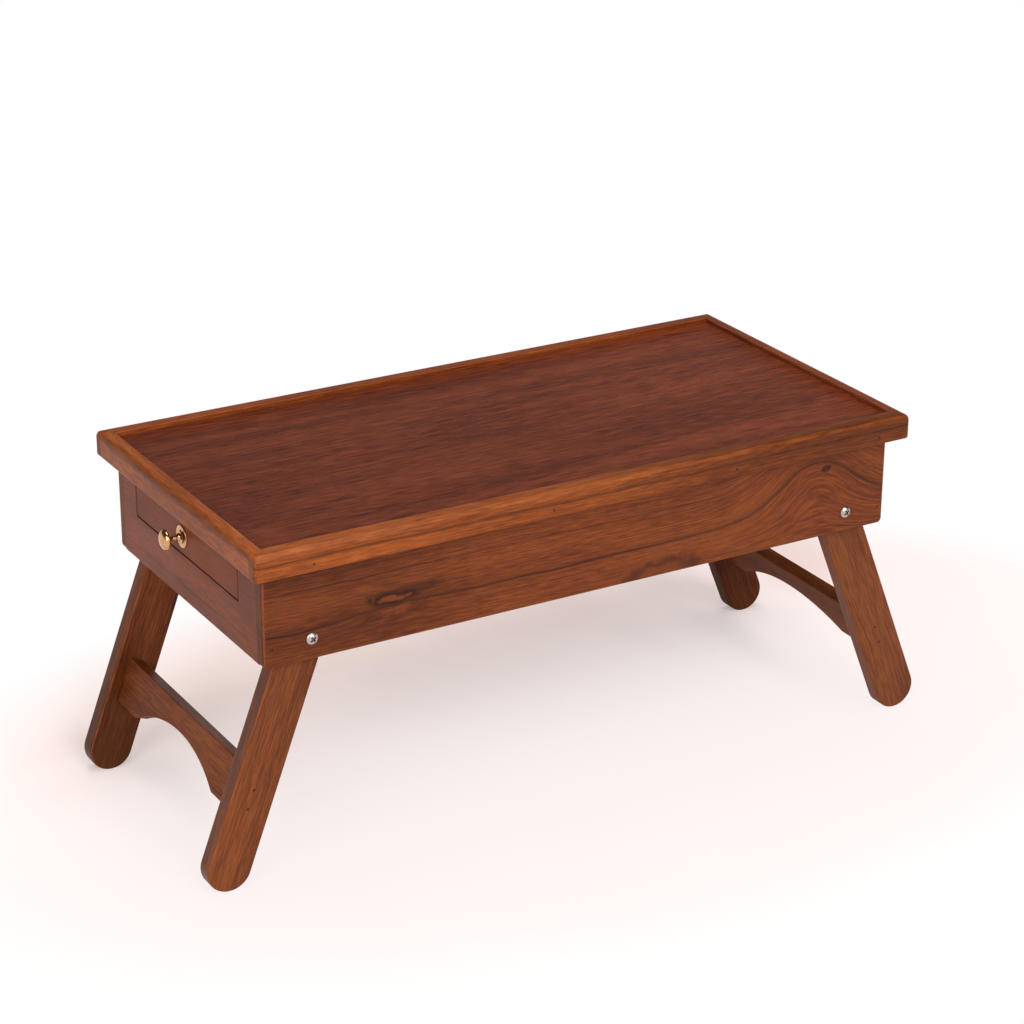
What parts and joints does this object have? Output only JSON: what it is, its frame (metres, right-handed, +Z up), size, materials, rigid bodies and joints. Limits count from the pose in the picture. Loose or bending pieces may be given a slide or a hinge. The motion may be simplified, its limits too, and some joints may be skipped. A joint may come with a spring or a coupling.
{
  "type": "lap desk",
  "caption": "Wooden lap desk: a rimmed tray top on a shallow box with an end drawer, standing on splayed folding leg frames joined by arched stretchers.",
  "frame": {"origin": "on the floor, under the middle of the tray rim", "axes": "+X along the desk to the end without the drawer, the drawer opens towards -X, -Y is the near long side, +Z up"},
  "size_m": [0.6884, 0.305, 0.292],
  "materials": {
    "tray_wood": "satin lacquer, dark reddish brown, grain along the tray",
    "rim_wood": "glossy lacquer, orange brown",
    "box_wood": "satin lacquer, reddish brown with bold figure",
    "drawer_face_wood": "satin lacquer, pinkish brown",
    "drawer_wood": "plain pale wood",
    "leg_wood": "satin lacquer, reddish brown",
    "polished_brass": "polished",
    "nickel": "bright nickel plate",
    "nail_steel": "dull dark steel"
  },
  "bodies": {
    "case": {"tray_panel": "tray_wood", "rim_rail_front": "rim_wood", "rim_rail_back": "rim_wood", "rim_rail_left": "rim_wood", "rim_rail_right": "rim_wood", "side_panel_front": "box_wood", "side_panel_back": "box_wood", "end_panel_left": "box_wood", "end_panel_right": "box_wood", "centre_divider": "box_wood", "drawer_runner_front": "drawer_wood", "drawer_runner_back": "drawer_wood", "pivot_screws": "nickel", "pivot_washers": "nickel", "pivot_nuts": "nickel", "rim_brads": "nail_steel", "box_brads": "nail_steel"},
    "drawer": {"drawer_front": "drawer_face_wood", "drawer_side_front": "drawer_wood", "drawer_side_back": "drawer_wood", "drawer_back": "drawer_wood", "drawer_bottom": "drawer_wood", "drawer_brads": "nail_steel", "knob_rose": "polished_brass", "knob": "polished_brass", "knob_screw": "nail_steel"},
    "left_legs": {"leg_front_left": "leg_wood", "leg_back_left": "leg_wood", "stretcher_left": "leg_wood", "leg_brads_left": "nail_steel"},
    "right_legs": {"leg_front_right": "leg_wood", "leg_back_right": "leg_wood", "stretcher_right": "leg_wood", "leg_brads_right": "nail_steel"}
  },
  "joints": [
    {"name": "drawer_slide", "type": "slide", "parent": "case", "child": "drawer", "axis": [-1, 0, 0], "range_m": [0, 0.235]},
    {"name": "left_leg_fold", "type": "hinge", "parent": "case", "child": "left_legs", "pos_m": [-0.2517, 0, 0.208], "axis": [0, -1, 0], "range_deg": [0, 110.43]},
    {"name": "right_leg_fold", "type": "hinge", "parent": "case", "child": "right_legs", "pos_m": [0.2531, 0, 0.208], "axis": [0, 1, 0], "range_deg": [0, 111.63]}
  ]
}
